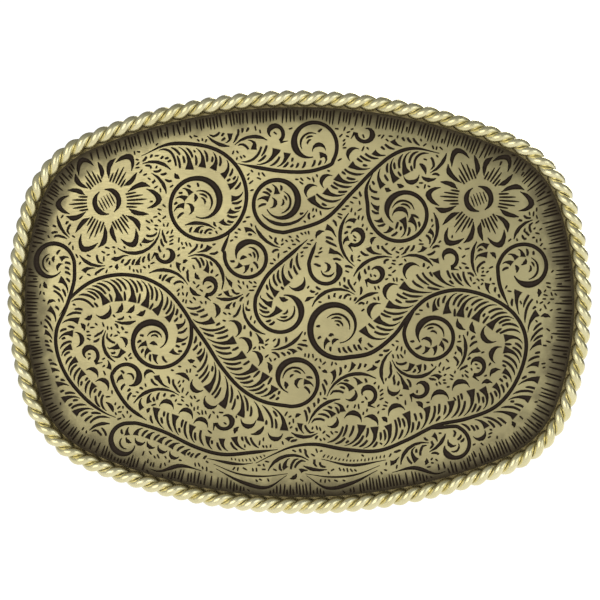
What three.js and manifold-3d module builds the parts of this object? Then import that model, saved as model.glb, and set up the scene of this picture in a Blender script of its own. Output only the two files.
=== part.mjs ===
// Western plate buckle: a domed brass face inside a twisted-wire rope edge, soldered to a flat
// back plate that carries a swinging strap loop on a riveted hinge bracket, and a riveted hook.
// Millimetres. X runs along the belt, Z is up as worn and the face looks along -Y, so the belt
// side is +Y. The origin is the centre of the back plate's raised pad, where the belt lies.
import * as THREE from "three";
import { mergeVertices } from "three/addons/utils/BufferGeometryUtils.js";
import Module from "manifold-3d";

const wasm = await Module();
wasm.setup();

// Outline over the rope edge: four shallow arcs joined by four corner arcs, all tangent.
const WIDTH = 95;
const HEIGHT = 68.9;
const END_RADIUS = 52.5;
const TOP_RADIUS = 89.4;
const CORNER_RADIUS = 17.7;
const OUTLINE_POINTS = 72;

// Layers, from the belt side to the face.
const PAD_RISE = 0.4;
const BACK_THICKNESS = 1.0;
const REAR = -PAD_RISE; // the back plate's rear face
const FRONT = REAR - BACK_THICKNESS; // its front face, which the rope and the face are soldered to
const BACK_INSET = 0.7;
const PAD = { width: 28, height: 18, corner: 3 };

// Rope edge: two wires twisted round each other, laid the left-hand way.
const ROPE_DIAMETER = 2.7;
const ROPE_TURNS = 51;
const STRAND_RADIUS = 0.56;
const STRAND_OFFSET = 0.72; // from the rope's own centreline to a strand's
const STRAND_STEPS_PER_TURN = 6;
const STRAND_SIDES = 6;

// Face: a sheet with a crown and a rolled edge.
const FACE_SHEET = 0.9;
const FACE_INSET = ROPE_DIAMETER + 0.15;
const CROWN = 2.0;
const ROLL = 1.2;
const ROLL_POWER = 12;
const FLANGE_FROM = 0.965; // share of the way out at which the sheet's inside meets the back plate

// Hinge bracket and strap loop, on the wearer's left.
const HINGE_X = 20;
const HINGE_Y = REAR + 5.8;
const PIN_RADIUS = 1.15;
const PIN_HOLE_RADIUS = 1.25;
const BRACKET = { width: 9, halfLength: 19.5, thickness: 1.2, corner: 1.5, earHalfWidth: 3.2, earThickness: 2.3 };
const BRACKET_RIVET_Z = 8;
const LOOP = { inside: 20, arm: 3, reach: 20.6, bar: 3.2, thickness: 3, corner: 4.5, innerCorner: 1.5 };
const LOOP_BEVEL = 0.5;
const EYE_RADIUS = 2.9;
const PIN_HEAD = { radius: 1.9, height: 0.8, gap: 0.3 };

// Hook, on the wearer's right: a peg on its own base plate, leaning towards the loop.
const HOOK_X = -36;
const HOOK_BASE = { width: 9, halfLength: 9, thickness: 1.2, corner: 2.5 };
const HOOK_RIVET_Z = 6.4;
const PEG_RADIUS = 2.0;
const PEG_TIP_RADIUS = 1.6;
const PEG_RISE = 7.4; // height of the peg's tip over the base plate
const PEG_REACH = 8.2; // how far the tip leans towards the loop
const PEG_SIDES = 16;

// Rivets with a domed head outside and an upset tail inside the hollow.
const RIVET = { shank: 0.9, hole: 1.05, head: 1.7, headHeight: 0.9, tail: 1.4, tailHeight: 0.7 };
const ROUND_SIDES = 20;

const FINISH = {
  antiqueBrass: { color: 0xb8ad78, roughness: 0.4, metalness: 0.9 },
  ropeBrass: { color: 0xd8cb8e, roughness: 0.3, metalness: 0.9 },
  plainBrass: { color: 0xa5965f, roughness: 0.45, metalness: 0.9 },
  steel: { color: 0x8f8d88, roughness: 0.35, metalness: 1.0 },
};

// ---- outline ----

function arcPath(arcs) {
  const path = new THREE.CurvePath();
  for (const [x, y, radius, from, to] of arcs) {
    path.add(new THREE.EllipseCurve(x, y, radius, radius, from, to));
  }
  return path;
}

// Centre of the corner arc in the first quadrant, inside both the top arc and the end arc.
function cornerCentre() {
  const top = new THREE.Vector2(0, HEIGHT / 2 - TOP_RADIUS);
  const end = new THREE.Vector2(WIDTH / 2 - END_RADIUS, 0);
  const toTop = TOP_RADIUS - CORNER_RADIUS;
  const toEnd = END_RADIUS - CORNER_RADIUS;
  const between = end.clone().sub(top);
  const apart = between.length();
  const along = (toTop ** 2 - toEnd ** 2 + apart ** 2) / (2 * apart);
  const across = Math.sqrt(toTop ** 2 - along ** 2);
  const unit = between.normalize();
  return new THREE.Vector2(
    top.x + along * unit.x + across * unit.y,
    top.y + along * unit.y - across * unit.x,
  );
}

// The outline moved in by inset, anticlockwise in the X-Z plane from the lower end of the right side.
function outlinePath(inset) {
  const corner = cornerCentre();
  const endX = WIDTH / 2 - END_RADIUS;
  const topY = HEIGHT / 2 - TOP_RADIUS;
  const low = Math.atan2(corner.y, corner.x - endX);
  const high = Math.atan2(corner.y - topY, corner.x);
  const half = Math.PI;
  return arcPath([
    [endX, 0, END_RADIUS - inset, -low, low],
    [corner.x, corner.y, CORNER_RADIUS - inset, low, high],
    [0, topY, TOP_RADIUS - inset, high, half - high],
    [-corner.x, corner.y, CORNER_RADIUS - inset, half - high, half - low],
    [-endX, 0, END_RADIUS - inset, half - low, half + low],
    [-corner.x, -corner.y, CORNER_RADIUS - inset, half + low, half + high],
    [0, -topY, TOP_RADIUS - inset, half + high, 2 * half - high],
    [corner.x, -corner.y, CORNER_RADIUS - inset, 2 * half - high, 2 * half - low],
  ]);
}

function outlinePoints(inset) {
  return outlinePath(inset).getSpacedPoints(OUTLINE_POINTS).slice(0, OUTLINE_POINTS);
}

// ---- small helpers ----

// Merges a geometry's vertices so that it can be joined and cut.
function toSolid(geometry) {
  const bare = geometry.clone();
  bare.deleteAttribute("normal");
  bare.deleteAttribute("uv");
  const merged = mergeVertices(bare, 1e-4);
  return new wasm.Manifold(
    new wasm.Mesh({
      numProp: 3,
      vertProperties: merged.attributes.position.array,
      triVerts: new Uint32Array(merged.index.array),
    }),
  );
}

function toGeometry(solid) {
  const mesh = solid.getMesh();
  const geometry = new THREE.BufferGeometry();
  geometry.setAttribute("position", new THREE.BufferAttribute(new Float32Array(mesh.vertProperties), 3));
  geometry.setIndex(new THREE.BufferAttribute(new Uint32Array(mesh.triVerts), 1));
  geometry.computeVertexNormals();
  return geometry;
}

function roundedRectangle(x, y, width, height, corner) {
  const right = x + width / 2 - corner;
  const left = x - width / 2 + corner;
  const top = y + height / 2 - corner;
  const bottom = y - height / 2 + corner;
  const quarter = Math.PI / 2;
  const points = [
    [right, top, 0],
    [left, top, quarter],
    [left, bottom, 2 * quarter],
    [right, bottom, 3 * quarter],
  ].flatMap(([cx, cy, from]) => new THREE.EllipseCurve(cx, cy, corner, corner, from, from + quarter).getPoints(4));
  return new THREE.Shape(points);
}

function roundHole(x, y, radius) {
  const around = new THREE.EllipseCurve(x, y, radius, radius, 0, 2 * Math.PI).getPoints(ROUND_SIDES);
  return new THREE.Path(around.slice(0, ROUND_SIDES));
}

// A flat piece drawn in the X-Z plane, from y = rear forwards (towards -Y) by its thickness.
function sheet(shape, rear, thickness) {
  const geometry = new THREE.ExtrudeGeometry(shape, { depth: thickness, bevelEnabled: false });
  return geometry.rotateX(Math.PI / 2).translate(0, rear, 0);
}

// ---- body ----

function backPlate() {
  const shape = new THREE.Shape(outlinePoints(BACK_INSET));
  for (const side of [-1, 1]) {
    shape.holes.push(roundHole(HINGE_X, side * BRACKET_RIVET_Z, RIVET.hole));
    shape.holes.push(roundHole(HOOK_X, side * HOOK_RIVET_Z, RIVET.hole));
  }
  const plate = toSolid(sheet(shape, REAR, BACK_THICKNESS));
  const pad = toSolid(sheet(roundedRectangle(0, 0, PAD.width, PAD.height, PAD.corner), 0, PAD_RISE + BACK_THICKNESS / 2));
  return toGeometry(plate.add(pad));
}

function domeHeight(share) {
  return CROWN * (1 - share ** 2) + ROLL * (1 - share ** ROLL_POWER);
}

// A dome turned on a lathe out to radius 1, then stretched from the circle to the face's outline.
function facePlate() {
  const outside = [0, 0.3, 0.55, 0.75, 0.87, 0.94, 1].map((s) => new THREE.Vector2(s, FACE_SHEET + domeHeight(s)));
  const inside = [0.925, 0.83, 0.6, 0].map((s) => new THREE.Vector2(s, domeHeight(s)));
  const flange = [new THREE.Vector2(1, 0), new THREE.Vector2(FLANGE_FROM, 0)];
  const profile = [...outside, ...flange, ...inside].reverse();
  const geometry = new THREE.LatheGeometry(profile, OUTLINE_POINTS);
  const edge = outlinePoints(FACE_INSET);
  const position = geometry.attributes.position;
  for (let i = 0; i < position.count; i += 1) {
    const around = edge[Math.floor(i / profile.length) % OUTLINE_POINTS];
    const { x: share, y: height } = profile[i % profile.length];
    position.setXYZ(i, share * around.x, FRONT - height, share * around.y);
  }
  return geometry;
}

// One wire of the rope: a helix wound round the outline's centreline.
class StrandCurve extends THREE.Curve {
  constructor(phase) {
    super();
    this.phase = phase;
    this.centreline = outlinePath(ROPE_DIAMETER / 2);
    this.arcLengthDivisions = ROPE_TURNS * 24;
  }

  getPoint(t, target = new THREE.Vector3()) {
    const share = t % 1;
    const at = this.centreline.getPoint(share);
    const along = this.centreline.getTangent(share);
    const angle = this.phase - 2 * Math.PI * ROPE_TURNS * share;
    const outwards = STRAND_OFFSET * Math.cos(angle);
    const back = STRAND_OFFSET * Math.sin(angle);
    return target.set(at.x + outwards * along.y, FRONT - ROPE_DIAMETER / 2 + back, at.y - outwards * along.x);
  }
}

function ropeStrand(phase) {
  const steps = ROPE_TURNS * STRAND_STEPS_PER_TURN;
  return new THREE.TubeGeometry(new StrandCurve(phase), steps, STRAND_RADIUS, STRAND_SIDES, true);
}

// ---- rivets and pin ----

// A rivet through a plate that stands on the back plate, its axis along Y.
function rivet(x, z, plateThickness) {
  const grip = plateThickness + BACK_THICKNESS;
  const profile = [
    [0, -RIVET.tailHeight],
    [0.7 * RIVET.tail, -RIVET.tailHeight],
    [RIVET.tail, -0.5 * RIVET.tailHeight],
    [RIVET.tail, 0],
    [RIVET.shank, 0],
    [RIVET.shank, grip],
    [RIVET.head, grip],
    [0.92 * RIVET.head, grip + 0.4 * RIVET.headHeight],
    [0.6 * RIVET.head, grip + 0.83 * RIVET.headHeight],
    [0, grip + RIVET.headHeight],
  ].map(([r, h]) => new THREE.Vector2(r, h));
  return new THREE.LatheGeometry(profile, ROUND_SIDES).translate(x, FRONT, z);
}

// The hinge pin lies along Z through the bracket's ears and the loop's eyes, peened at both ends.
function hingePin() {
  const end = LOOP.inside + LOOP.arm + PIN_HEAD.gap;
  const head = [
    [PIN_RADIUS, end],
    [PIN_HEAD.radius, end],
    [0.85 * PIN_HEAD.radius, end + 0.6 * PIN_HEAD.height],
    [0, end + PIN_HEAD.height],
  ];
  const foot = head.map(([r, h]) => [r, -h]).reverse();
  const profile = [...foot, ...head].map(([r, h]) => new THREE.Vector2(r, h));
  return new THREE.LatheGeometry(profile, ROUND_SIDES).rotateX(Math.PI / 2).translate(HINGE_X, HINGE_Y, 0);
}

// ---- hinge bracket and strap loop ----

function bracketEar(from) {
  const shape = new THREE.Shape();
  shape.moveTo(HINGE_X - BRACKET.earHalfWidth, REAR);
  shape.lineTo(HINGE_X + BRACKET.earHalfWidth, REAR);
  shape.lineTo(HINGE_X + BRACKET.earHalfWidth, HINGE_Y);
  shape.absarc(HINGE_X, HINGE_Y, BRACKET.earHalfWidth, 0, Math.PI);
  shape.holes.push(roundHole(HINGE_X, HINGE_Y, PIN_HOLE_RADIUS));
  const settings = { depth: BRACKET.earThickness, bevelEnabled: false, curveSegments: ROUND_SIDES / 2 };
  return toSolid(new THREE.ExtrudeGeometry(shape, settings).translate(0, 0, from));
}

function hingeBracket() {
  const base = roundedRectangle(HINGE_X, 0, BRACKET.width, 2 * BRACKET.halfLength, BRACKET.corner);
  for (const side of [-1, 1]) {
    base.holes.push(roundHole(HINGE_X, side * BRACKET_RIVET_Z, RIVET.hole));
  }
  return toGeometry(
    toSolid(sheet(base, REAR + BRACKET.thickness, BRACKET.thickness))
      .add(bracketEar(BRACKET.halfLength - BRACKET.earThickness))
      .add(bracketEar(-BRACKET.halfLength)),
  );
}

// The loop's U, drawn in the X-Z plane: two arms from the hinge to the bar that holds the strap.
function loopOutline() {
  const outer = LOOP.inside + LOOP.arm;
  const farX = HINGE_X + LOOP.reach;
  const barX = farX - LOOP.bar;
  const quarter = Math.PI / 2;
  const bend = (x, z, radius, from, sweep) =>
    new THREE.EllipseCurve(x, z, radius, radius, from, from + sweep, sweep < 0).getPoints(5);
  return new THREE.Shape([
    new THREE.Vector2(HINGE_X, -outer),
    ...bend(farX - LOOP.corner, -outer + LOOP.corner, LOOP.corner, -quarter, quarter),
    ...bend(farX - LOOP.corner, outer - LOOP.corner, LOOP.corner, 0, quarter),
    new THREE.Vector2(HINGE_X, outer),
    new THREE.Vector2(HINGE_X, LOOP.inside),
    ...bend(barX - LOOP.innerCorner, LOOP.inside - LOOP.innerCorner, LOOP.innerCorner, quarter, -quarter),
    ...bend(barX - LOOP.innerCorner, -LOOP.inside + LOOP.innerCorner, LOOP.innerCorner, 0, -quarter),
    new THREE.Vector2(HINGE_X, -LOOP.inside),
  ]);
}

function strapLoop() {
  const frame = new THREE.ExtrudeGeometry(loopOutline(), {
    depth: LOOP.thickness - 2 * LOOP_BEVEL,
    bevelThickness: LOOP_BEVEL,
    bevelSize: LOOP_BEVEL,
    bevelOffset: -LOOP_BEVEL,
    bevelSegments: 2,
  });
  frame.rotateX(Math.PI / 2).translate(0, HINGE_Y + LOOP.thickness / 2 - LOOP_BEVEL, 0);
  const disc = (radius, from, length) =>
    toSolid(
      new THREE.CylinderGeometry(radius, radius, length, ROUND_SIDES)
        .rotateX(Math.PI / 2)
        .translate(HINGE_X, HINGE_Y, from + length / 2),
    );
  const outer = LOOP.inside + LOOP.arm;
  return toGeometry(
    toSolid(frame)
      .add(disc(EYE_RADIUS, LOOP.inside, LOOP.arm))
      .add(disc(EYE_RADIUS, -outer, LOOP.arm))
      .subtract(disc(PIN_HOLE_RADIUS, -outer - 1, 2 * outer + 2)),
  );
}

// ---- hook ----

function hookBase() {
  const shape = roundedRectangle(HOOK_X, 0, HOOK_BASE.width, 2 * HOOK_BASE.halfLength, HOOK_BASE.corner);
  for (const side of [-1, 1]) {
    shape.holes.push(roundHole(HOOK_X, side * HOOK_RIVET_Z, RIVET.hole));
  }
  return sheet(shape, REAR + HOOK_BASE.thickness, HOOK_BASE.thickness);
}

// A straight tapered peg with a round tip, turned on a lathe and then bent along a curve.
function hookPeg() {
  const foot = new THREE.Vector3(HOOK_X, REAR + HOOK_BASE.thickness, 0);
  const bend = new THREE.CubicBezierCurve3(
    foot,
    foot.clone().add(new THREE.Vector3(0, 0.75 * PEG_RISE, 0)),
    foot.clone().add(new THREE.Vector3(0.25 * PEG_REACH, 0.95 * PEG_RISE, 0)),
    foot.clone().add(new THREE.Vector3(PEG_REACH, PEG_RISE, 0)),
  );
  const radiusAt = (share) => THREE.MathUtils.lerp(PEG_RADIUS, PEG_TIP_RADIUS, share);
  const stem = [0, 0.12, 0.24, 0.36, 0.48, 0.6, 0.72, 0.84].map((s) => [radiusAt(s), s]);
  const tip = [[0.85 * PEG_TIP_RADIUS, 0.94], [0.5 * PEG_TIP_RADIUS, 0.985]];
  const profile = [[0, 0], ...stem, ...tip, [0, 1]].map(([r, s]) => new THREE.Vector2(r, s));
  const geometry = new THREE.LatheGeometry(profile, PEG_SIDES);
  const position = geometry.attributes.position;
  const at = new THREE.Vector3();
  const side = new THREE.Vector3();
  for (let i = 0; i < position.count; i += 1) {
    const share = position.getY(i);
    bend.getPointAt(share, at);
    const along = bend.getTangentAt(share);
    side.set(along.y, -along.x, 0).multiplyScalar(position.getX(i));
    position.setXYZ(i, at.x + side.x, at.y + side.y, position.getZ(i));
  }
  return geometry;
}

// ---- assembly ----

function named(name, geometry, finish) {
  const mesh = new THREE.Mesh(geometry, new THREE.MeshStandardMaterial(finish));
  mesh.name = name;
  return mesh;
}

const buckle = new THREE.Group();
buckle.add(
  named("face_plate", facePlate(), FINISH.antiqueBrass),
  named("back_plate", backPlate(), FINISH.plainBrass),
  named("rope_strand_a", ropeStrand(0), FINISH.ropeBrass),
  named("rope_strand_b", ropeStrand(Math.PI), FINISH.ropeBrass),
  named("hinge_bracket", hingeBracket(), FINISH.plainBrass),
  named("hinge_pin", hingePin(), FINISH.steel),
  named("strap_loop", strapLoop(), FINISH.plainBrass),
  named("hook_base", hookBase(), FINISH.plainBrass),
  named("hook_peg", hookPeg(), FINISH.plainBrass),
);
for (const [place, side] of [["upper", 1], ["lower", -1]]) {
  buckle.add(
    named(`bracket_rivet_${place}`, rivet(HINGE_X, side * BRACKET_RIVET_Z, BRACKET.thickness), FINISH.steel),
    named(`hook_rivet_${place}`, rivet(HOOK_X, side * HOOK_RIVET_Z, HOOK_BASE.thickness), FINISH.steel),
  );
}

export default buckle;
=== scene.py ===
"""Western plate buckle: an engraved, antiqued brass face in a twisted-wire rope edge, with its back hardware.

The drawing of the face is in millimetres in the X-Z plane; meshes are turned into metres when they are made.
"""

import math

import bpy
import numpy as np
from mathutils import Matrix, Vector
from mathutils.geometry import delaunay_2d_cdt


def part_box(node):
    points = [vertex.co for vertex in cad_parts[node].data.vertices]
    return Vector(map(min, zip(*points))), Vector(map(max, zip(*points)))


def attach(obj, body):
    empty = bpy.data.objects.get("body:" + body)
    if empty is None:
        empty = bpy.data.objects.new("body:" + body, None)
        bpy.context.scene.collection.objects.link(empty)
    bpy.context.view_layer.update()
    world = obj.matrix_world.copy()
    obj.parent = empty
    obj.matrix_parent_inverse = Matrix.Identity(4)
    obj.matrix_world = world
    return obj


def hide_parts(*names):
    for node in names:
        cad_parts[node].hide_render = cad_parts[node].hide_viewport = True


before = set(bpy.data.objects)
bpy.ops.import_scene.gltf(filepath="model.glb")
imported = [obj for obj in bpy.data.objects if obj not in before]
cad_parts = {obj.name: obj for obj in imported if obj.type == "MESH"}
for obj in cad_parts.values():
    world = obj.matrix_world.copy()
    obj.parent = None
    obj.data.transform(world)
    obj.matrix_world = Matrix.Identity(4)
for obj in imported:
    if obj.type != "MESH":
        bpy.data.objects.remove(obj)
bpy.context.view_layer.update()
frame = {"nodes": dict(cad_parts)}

MM = 0.001

# Outline over the rope edge, as in the frame.
WIDTH = 95.0
HEIGHT = 68.9
END_RADIUS = 52.5
TOP_RADIUS = 89.4
CORNER_RADIUS = 17.7
ROPE_DIAMETER = 2.7
ROPE_TURNS = 51
FACE_INSET = ROPE_DIAMETER + 0.05
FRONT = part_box("back_plate")[0].y / MM  # the back plate's front face, which the rope and the face lie on

# Face sheet: a crown with a rolled edge.
FACE_SHEET = 0.9
CROWN = 2.0
ROLL = 1.2
ROLL_POWER = 12

# Engraving: the widths of cuts, their section, and the points along them.
NARROWEST = 0.1  # least width of a cut
HAIR = 0.12  # width at the fine end of a shading line
TIP = 0.15  # width at the fine end of a stem
FINE = 0.4  # width of a shading line
LINE = 0.64  # width of a stem
BOLD = 1.0  # width of a spiral's head at its widest
LIP = 0.95  # where a cut's wall starts, as a share of half its width
FLOOR = 0.4  # where its wall meets its floor
SHALLOWEST = 0.1
DEPTH_PER_WIDTH = 0.6  # depth gained for each millimetre of half the width
DEEPEST = 0.34
THREAD = 0.22  # half the width up to which a cut's floor is only a line
STEP = 0.15  # spacing of the points along a cut
NO_CUT = -1  # owner of a point that is on no cut's outline

# Leaf lobes.
BARB_LEAN = 0.8  # how far a line runs along its stem, as a share of how far it reaches from it
BARB_ROOT = 0.42  # how far from the stem's middle a line starts
BARB_GAP = 0.09  # least metal left beside a line
BARB_PITCH = 0.57  # from one line to the next
WEDGE_PLACE = 0.8  # where in a lobe its bold wedge starts
DEEP_LOBE = 6.4  # the deepest that a lobe gets

# The face's mesh.
RIM_POINTS = 288
ON_RIM = 0.9995  # share of the way out from which a point counts as on the rim
GRID = 1.5  # spacing of the points on plain metal
WELD = 1e-4

EDGE_BEVEL = 0.18  # on the pieces at the back


# ---- curves ----


def corner_centre():
    """Centre of the corner arc that lies inside both the top arc and the end arc."""
    top = Vector((0, HEIGHT / 2 - TOP_RADIUS))
    end = Vector((WIDTH / 2 - END_RADIUS, 0))
    to_top = TOP_RADIUS - CORNER_RADIUS
    to_end = END_RADIUS - CORNER_RADIUS
    apart = (end - top).length
    along = (to_top**2 - to_end**2 + apart**2) / (2 * apart)
    across = math.sqrt(to_top**2 - along**2)
    unit = (end - top).normalized()
    return top + along * unit + across * Vector((unit.y, -unit.x))


def outline(inset, count):
    """Evenly spaced points round the outline moved in by inset, and the outward normal at each."""
    corner = corner_centre()
    end_x = WIDTH / 2 - END_RADIUS
    top_z = HEIGHT / 2 - TOP_RADIUS
    low = math.atan2(corner.y, corner.x - end_x)
    high = math.atan2(corner.y - top_z, corner.x)
    quarter = [
        (end_x, 0.0, END_RADIUS - inset, 0.0, low),
        (corner.x, corner.y, CORNER_RADIUS - inset, low, high),
        (0.0, top_z, TOP_RADIUS - inset, high, math.pi / 2),
    ]
    centres, radii, angles = [], [], []
    for x, z, radius, start, stop in quarter:
        steps = 400
        angle = np.linspace(start, stop, steps, endpoint=False) + (stop - start) / steps / 2
        centres.append(np.tile((x, z), (steps, 1)))
        radii.append(np.full(steps, radius))
        angles.append(angle)
    centre, radius, angle = np.concatenate(centres), np.concatenate(radii), np.concatenate(angles)
    normal = np.stack((np.cos(angle), np.sin(angle)), 1)
    point = centre + radius[:, None] * normal
    for mirror in ((-1, 1), (1, -1)):
        point = np.concatenate((point, point[::-1] * mirror))
        normal = np.concatenate((normal, normal[::-1] * mirror))
    step = np.linalg.norm(np.roll(point, -1, 0) - point, axis=1)
    length = np.concatenate(([0], np.cumsum(step)))
    at = np.arange(count) * length[-1] / count
    closed_point = np.concatenate((point, point[:1]))
    closed_normal = np.concatenate((normal, normal[:1]))
    evenly = [np.interp(at, length, column) for column in (*closed_point.T, *closed_normal.T)]
    return np.stack(evenly[:2], 1), np.stack(evenly[2:], 1)


def evenly(points, step):
    """The polyline's points moved to an even spacing of about step."""
    points = np.asarray(points, float)
    length = np.concatenate(([0], np.cumsum(np.linalg.norm(np.diff(points, axis=0), axis=1))))
    count = max(2, int(round(length[-1] / step)) + 1)
    at = np.linspace(0, length[-1], count)
    return np.stack([np.interp(at, length, column) for column in points.T], 1)


def smooth(points):
    """A Catmull-Rom curve through the points, evenly sampled."""
    points = np.asarray(points, float)
    ends = 2 * points[[0, -1]] - points[[1, -2]]
    padded = np.concatenate((ends[:1], points, ends[1:]))
    t = np.linspace(0, 1, 12, endpoint=False)[:, None]
    pieces = []
    for a, b, c, d in zip(padded, padded[1:], padded[2:], padded[3:]):
        square = (2 * a - 5 * b + 4 * c - d) * t**2
        cube = (3 * b - a - 3 * c + d) * t**3
        pieces.append(0.5 * (2 * b + (c - a) * t + square + cube))
    return evenly(np.concatenate((*pieces, points[-1:])), STEP)


def coil(centre, radius, inner, start, sweep, count=24):
    """Points of a spiral that tightens from radius to inner, from an angle through a sweep in degrees."""
    share = np.linspace(0, 1, count)
    angle = np.radians(start + sweep * share)
    r = radius * (inner / radius) ** share
    return np.stack((centre[0] + r * np.cos(angle), centre[1] + r * np.sin(angle)), 1)


def arc(centre, radius, start, stop):
    """Points of a circular arc between two angles in degrees."""
    return coil(centre, radius, radius, start, stop - start, 9)


def heading(angle):
    """The unit vector at an angle in degrees."""
    a = math.radians(angle)
    return np.array((math.cos(a), math.sin(a)))


# ---- the face's surface ----

RIM, _ = outline(FACE_INSET, 1440)
RIM_ANGLE = np.arctan2(RIM[:, 1], RIM[:, 0])
RIM_ORDER = np.argsort(RIM_ANGLE)


def share_out(points):
    """How far out each point lies, from 0 at the middle to 1 at the face's edge."""
    angle = np.arctan2(points[:, 1], points[:, 0])
    reach = np.linalg.norm(RIM, axis=1)[RIM_ORDER]
    edge = np.interp(angle, RIM_ANGLE[RIM_ORDER], reach, period=2 * math.pi)
    return np.linalg.norm(points, axis=1) / edge


def from_rim(points):
    """Distance of each point from the face's edge, along the line from the middle."""
    share = np.maximum(share_out(points), 1e-6)
    return (1 - share) * np.linalg.norm(points, axis=1) / share


def dome(points):
    """Height of the face's outside over the back plate."""
    share = np.clip(share_out(points), 0, 1)
    return FACE_SHEET + CROWN * (1 - share**2) + ROLL * (1 - share**ROLL_POWER)


# ---- engraving ----


class Engraving:
    """The cuts in the face. Each new cut can be told to keep clear of the ones already there."""

    cell = 0.1  # of the map of free room
    reach = 1.6  # more room than this isn't told apart

    def __init__(self):
        self.cuts = []
        self.heads = []
        self.low = np.array((-WIDTH / 2, -HEIGHT / 2))
        shape = (np.array((WIDTH, HEIGHT)) / self.cell).astype(int) + 1
        x = self.low[0] + np.arange(shape[0]) * self.cell
        z = self.low[1] + np.arange(shape[1]) * self.cell
        at = np.stack(np.meshgrid(x, z, indexing="ij"), -1).reshape(-1, 2)
        self.room = np.minimum(from_rim(at), self.reach).reshape(shape)
        self.at = at.reshape(*shape, 2)
        self.bare = np.zeros(shape, bool)

    def cells(self, points):
        """The map's cell at each point."""
        index = np.round((points - self.low) / self.cell).astype(int)
        index = np.clip(index, 0, np.array(self.room.shape) - 1)
        return index[:, 0], index[:, 1]

    def room_at(self, points):
        """Distance from each point to the nearest cut's edge or to the rim, up to reach."""
        return self.room[self.cells(points)]

    def keep_bare(self, centre, radius):
        """Leaves a disc of metal without ground marks, such as the round head of a leaf."""
        self.bare |= np.linalg.norm(self.at - np.asarray(centre), axis=-1) < radius

    def is_open(self, point, room):
        """Whether a mark may go at a point: plain ground, and no cut closer than room."""
        return self.room_at(point[None])[0] > room and not self.bare[self.cells(point[None])][0]

    def free_way(self, point, direction, most=9.5, least=0.6):
        """How far a line can run from a point before it meets a cut that is at least so far away."""
        steps = np.arange(least, most, self.cell)
        blocked = np.flatnonzero(self.room_at(point + steps[:, None] * direction) < self.cell)
        return steps[blocked[0]] if len(blocked) else most

    def add(self, points, half):
        """Keeps a cut, and takes its room from the map, with its ends rounded off."""
        self.cuts.append((points, half))
        to_end = STEP * np.minimum(np.arange(len(points)), np.arange(len(points))[::-1])
        for point, w in zip(points, np.minimum(half, self.cell + to_end)):
            low = np.maximum(((point - self.low - w - self.reach) / self.cell).astype(int), 0)
            high = ((point - self.low + w + self.reach) / self.cell).astype(int) + 2
            window = (slice(low[0], high[0]), slice(low[1], high[1]))
            distance = np.linalg.norm(self.at[window] - point, axis=-1) - w
            self.room[window] = np.minimum(self.room[window], distance)

    def cut(self, points, widths, gap=None, least=0.7):
        """A cut along a line, its widths spread evenly from start to end.

        With a gap it is trimmed to its longest stretch that stays that far from every other cut, and left out
        if that is shorter than least or nearly as wide as long. Says whether it was made.
        """
        points = evenly(points, STEP)
        half = spread(widths, len(points)) / 2
        if gap is not None:
            start, stop = longest_run(self.room_at(points) > half + gap)
            points = points[start:stop]
            if len(points) < 3 or (len(points) - 1) * STEP < max(least, 1.4 * max(widths)):
                return False
            half = spread(widths, len(points)) / 2
        self.add(points, half)
        return True


def spread(widths, count):
    """The widths as count values, with smooth steps between them."""
    at = np.linspace(0, len(widths) - 1, count)
    before = np.minimum(at.astype(int), len(widths) - 2)
    t = at - before
    t = t * t * (3 - 2 * t)
    widths = np.asarray(widths, float)
    return np.maximum(widths[before] * (1 - t) + widths[before + 1] * t, NARROWEST)


def longest_run(good):
    """Where the longest run of true values starts and stops."""
    edges = np.flatnonzero(np.diff(np.concatenate(([0], good.astype(int), [0]))))
    runs = edges.reshape(-1, 2)
    if len(runs) == 0:
        return 0, 0
    return runs[np.argmax(runs[:, 1] - runs[:, 0])]


def beside(path, share, offset):
    """The point at a share of a path's length, moved offset to its left."""
    at = np.clip(share, 0, 1) * (len(path) - 1)
    i = min(int(at), len(path) - 2)
    along = path[i + 1] - path[i]
    along = along / np.linalg.norm(along)
    return path[i] + (path[i + 1] - path[i]) * (at - i) + offset * np.array((-along[1], along[0]))


def scroll(work, lead, centre, radius, inner, start, sweep):
    """A stem that ends in a spiral with a bold head. Its lead points come before the spiral."""
    path = smooth([*lead, *coil(centre, radius, inner, start, sweep)])
    work.cut(path, (TIP, LINE, LINE, LINE, LINE, LINE, LINE, LINE + 0.1, BOLD + 0.15, 0.2))
    work.heads.append((centre, inner, start + sweep, math.copysign(1, sweep)))
    work.keep_bare(centre, min(0.9 * radius, 4.6))
    return path


def crescent(work, centre, radius, facing):
    """A cut like a C, thick in its middle, whose hollow side faces a direction in degrees."""
    half_sweep = 92.5
    middle = facing + 180
    bold = 0.42 + 0.34 * radius
    work.cut(arc(centre, radius, middle - half_sweep, middle + half_sweep), (HAIR, bold, HAIR), 0.1)


def free_ground(work, path, side, at, share, most):
    """How deep a lobe can be beside a stem, at a share of the stem's length."""
    stem_point = beside(path, at, 0)
    away = beside(path, at, side) - stem_point
    return min(most, share * work.free_way(stem_point, away))


def barb(work, path, side, at, reach, widths):
    """A cut that leaves a stem along it and bends away from it."""
    length = (len(path) - 1) * STEP
    u = np.linspace(0, math.pi / 2, 8)
    shares = at + BARB_LEAN * reach * np.sin(u) / length
    offsets = side * (BARB_ROOT + (reach - BARB_ROOT) * (1 - np.cos(u)))
    points = [beside(path, s, o) for s, o in zip(shares, offsets)]
    work.cut(smooth(points), widths, BARB_GAP)


def lobe_head(work, path, side, at, deep, reach, width):
    """The crescent beyond a lobe's lines, with bare metal inside it."""
    radius = min(0.42 * width, 0.3 * deep)
    centre = beside(path, at, side * (reach + 0.35))
    below = beside(path, at, 0)
    facing = math.degrees(math.atan2(*(below - centre)[::-1]))
    work.keep_bare(centre, radius + 0.1)
    crescent(work, centre, radius, facing - 15 * side)


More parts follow.
